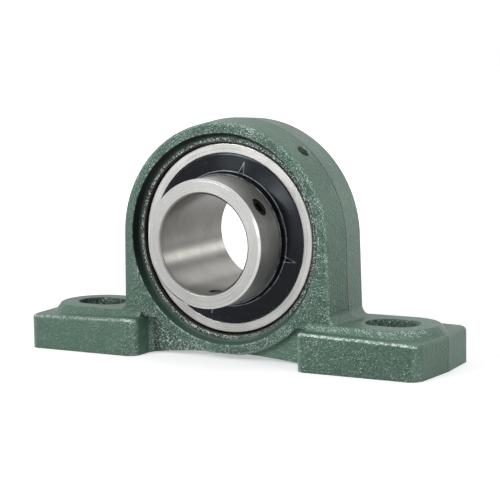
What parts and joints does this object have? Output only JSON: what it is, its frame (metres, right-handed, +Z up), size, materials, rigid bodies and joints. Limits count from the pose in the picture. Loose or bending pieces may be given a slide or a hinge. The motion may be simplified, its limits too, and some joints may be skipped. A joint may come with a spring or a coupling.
{
  "type": "pillow block bearing",
  "caption": "Cast pillow block housing with a self-aligning insert ball bearing, set screw locking, slotted feet and a grease port.",
  "frame": {"origin": "centre of the bearing, on the bore's axis and in the housing's middle plane", "axes": "+X along the base, -Y along the bore towards the wide end with the set screws, +Z up from the base"},
  "size_m": [0.184, 0.0552, 0.0976],
  "materials": {
    "housing_paint": "green enamel over sand-cast grey iron, satin, rough skin; machined seat and base are bare",
    "ground_steel": "ground bearing steel",
    "inner_steel": "ground bearing steel, fine turned grain",
    "cage_steel": "pressed steel strip",
    "rivet_steel": "cold-headed steel",
    "seal_steel": "steel core, black coated",
    "seal_rubber": "moulded nitrile rubber",
    "slinger_black": "pressed steel, glossy black",
    "black_oxide": "black oxide",
    "ball_steel": "polished bearing steel"
  },
  "bodies": {
    "housing": {"housing": "housing_paint"},
    "outer": {"outer_ring": "ground_steel", "seal_front": "seal_steel", "seal_rear": "seal_steel", "seal_front_lip": "seal_rubber", "seal_rear_lip": "seal_rubber"},
    "inner": {"inner_ring": "inner_steel", "slinger_front": "slinger_black", "slinger_rear": "slinger_black"},
    "cage": {"cage_front": "cage_steel", "cage_rear": "cage_steel", "cage_rivets": "rivet_steel"},
    "screw_1": {"set_screw_1": "black_oxide"},
    "screw_2": {"set_screw_2": "black_oxide"},
    "ball_1": {"ball_1": "ball_steel"},
    "ball_2": {"ball_2": "ball_steel"},
    "ball_3": {"ball_3": "ball_steel"},
    "ball_4": {"ball_4": "ball_steel"},
    "ball_5": {"ball_5": "ball_steel"},
    "ball_6": {"ball_6": "ball_steel"},
    "ball_7": {"ball_7": "ball_steel"},
    "ball_8": {"ball_8": "ball_steel"},
    "ball_9": {"ball_9": "ball_steel"}
  },
  "joints": [
    {"name": "self_align", "type": "hinge", "parent": "housing", "child": "outer", "pos_m": [0, 0, 0], "axis": [0, 0, 1], "range_deg": [-2, 2]},
    {"name": "shaft_spin", "type": "hinge", "parent": "outer", "child": "inner", "pos_m": [0, 0, 0], "axis": [0, -1, 0], "continuous": true},
    {"name": "cage_spin", "type": "hinge", "parent": "outer", "child": "cage", "pos_m": [0, 0, 0], "axis": [0, -1, 0], "continuous": true},
    {"name": "ball_1_spin", "type": "hinge", "parent": "cage", "child": "ball_1", "pos_m": [0, 0, 0.03], "axis": [0, -1, 0], "continuous": true},
    {"name": "ball_2_spin", "type": "hinge", "parent": "cage", "child": "ball_2", "pos_m": [0.01928, 0, 0.02298], "axis": [0, -1, 0], "continuous": true},
    {"name": "ball_3_spin", "type": "hinge", "parent": "cage", "child": "ball_3", "pos_m": [0.02954, 0, 0.00521], "axis": [0, -1, 0], "continuous": true},
    {"name": "ball_4_spin", "type": "hinge", "parent": "cage", "child": "ball_4", "pos_m": [0.02598, 0, -0.015], "axis": [0, -1, 0], "continuous": true},
    {"name": "ball_5_spin", "type": "hinge", "parent": "cage", "child": "ball_5", "pos_m": [0.01026, 0, -0.02819], "axis": [0, -1, 0], "continuous": true},
    {"name": "ball_6_spin", "type": "hinge", "parent": "cage", "child": "ball_6", "pos_m": [-0.01026, 0, -0.02819], "axis": [0, -1, 0], "continuous": true},
    {"name": "ball_7_spin", "type": "hinge", "parent": "cage", "child": "ball_7", "pos_m": [-0.02598, 0, -0.015], "axis": [0, -1, 0], "continuous": true},
    {"name": "ball_8_spin", "type": "hinge", "parent": "cage", "child": "ball_8", "pos_m": [-0.02954, 0, 0.00521], "axis": [0, -1, 0], "continuous": true},
    {"name": "ball_9_spin", "type": "hinge", "parent": "cage", "child": "ball_9", "pos_m": [-0.01928, 0, 0.02298], "axis": [0, -1, 0], "continuous": true},
    {"name": "screw_1_travel", "type": "slide", "parent": "inner", "child": "screw_1", "axis": [0.8192, 0, 0.5736], "range_m": [-0.0015, 0.004]},
    {"name": "screw_2_travel", "type": "slide", "parent": "inner", "child": "screw_2", "axis": [0.0872, 0, -0.9962], "range_m": [-0.0015, 0.004]}
  ],
  "couplings": [
    {"joint": "cage_spin", "follows": "shaft_spin", "ratio": 0.4},
    {"joint": "ball_1_spin", "follows": "shaft_spin", "ratio": -2.4},
    {"joint": "ball_2_spin", "follows": "shaft_spin", "ratio": -2.4},
    {"joint": "ball_3_spin", "follows": "shaft_spin", "ratio": -2.4},
    {"joint": "ball_4_spin", "follows": "shaft_spin", "ratio": -2.4},
    {"joint": "ball_5_spin", "follows": "shaft_spin", "ratio": -2.4},
    {"joint": "ball_6_spin", "follows": "shaft_spin", "ratio": -2.4},
    {"joint": "ball_7_spin", "follows": "shaft_spin", "ratio": -2.4},
    {"joint": "ball_8_spin", "follows": "shaft_spin", "ratio": -2.4},
    {"joint": "ball_9_spin", "follows": "shaft_spin", "ratio": -2.4}
  ]
}
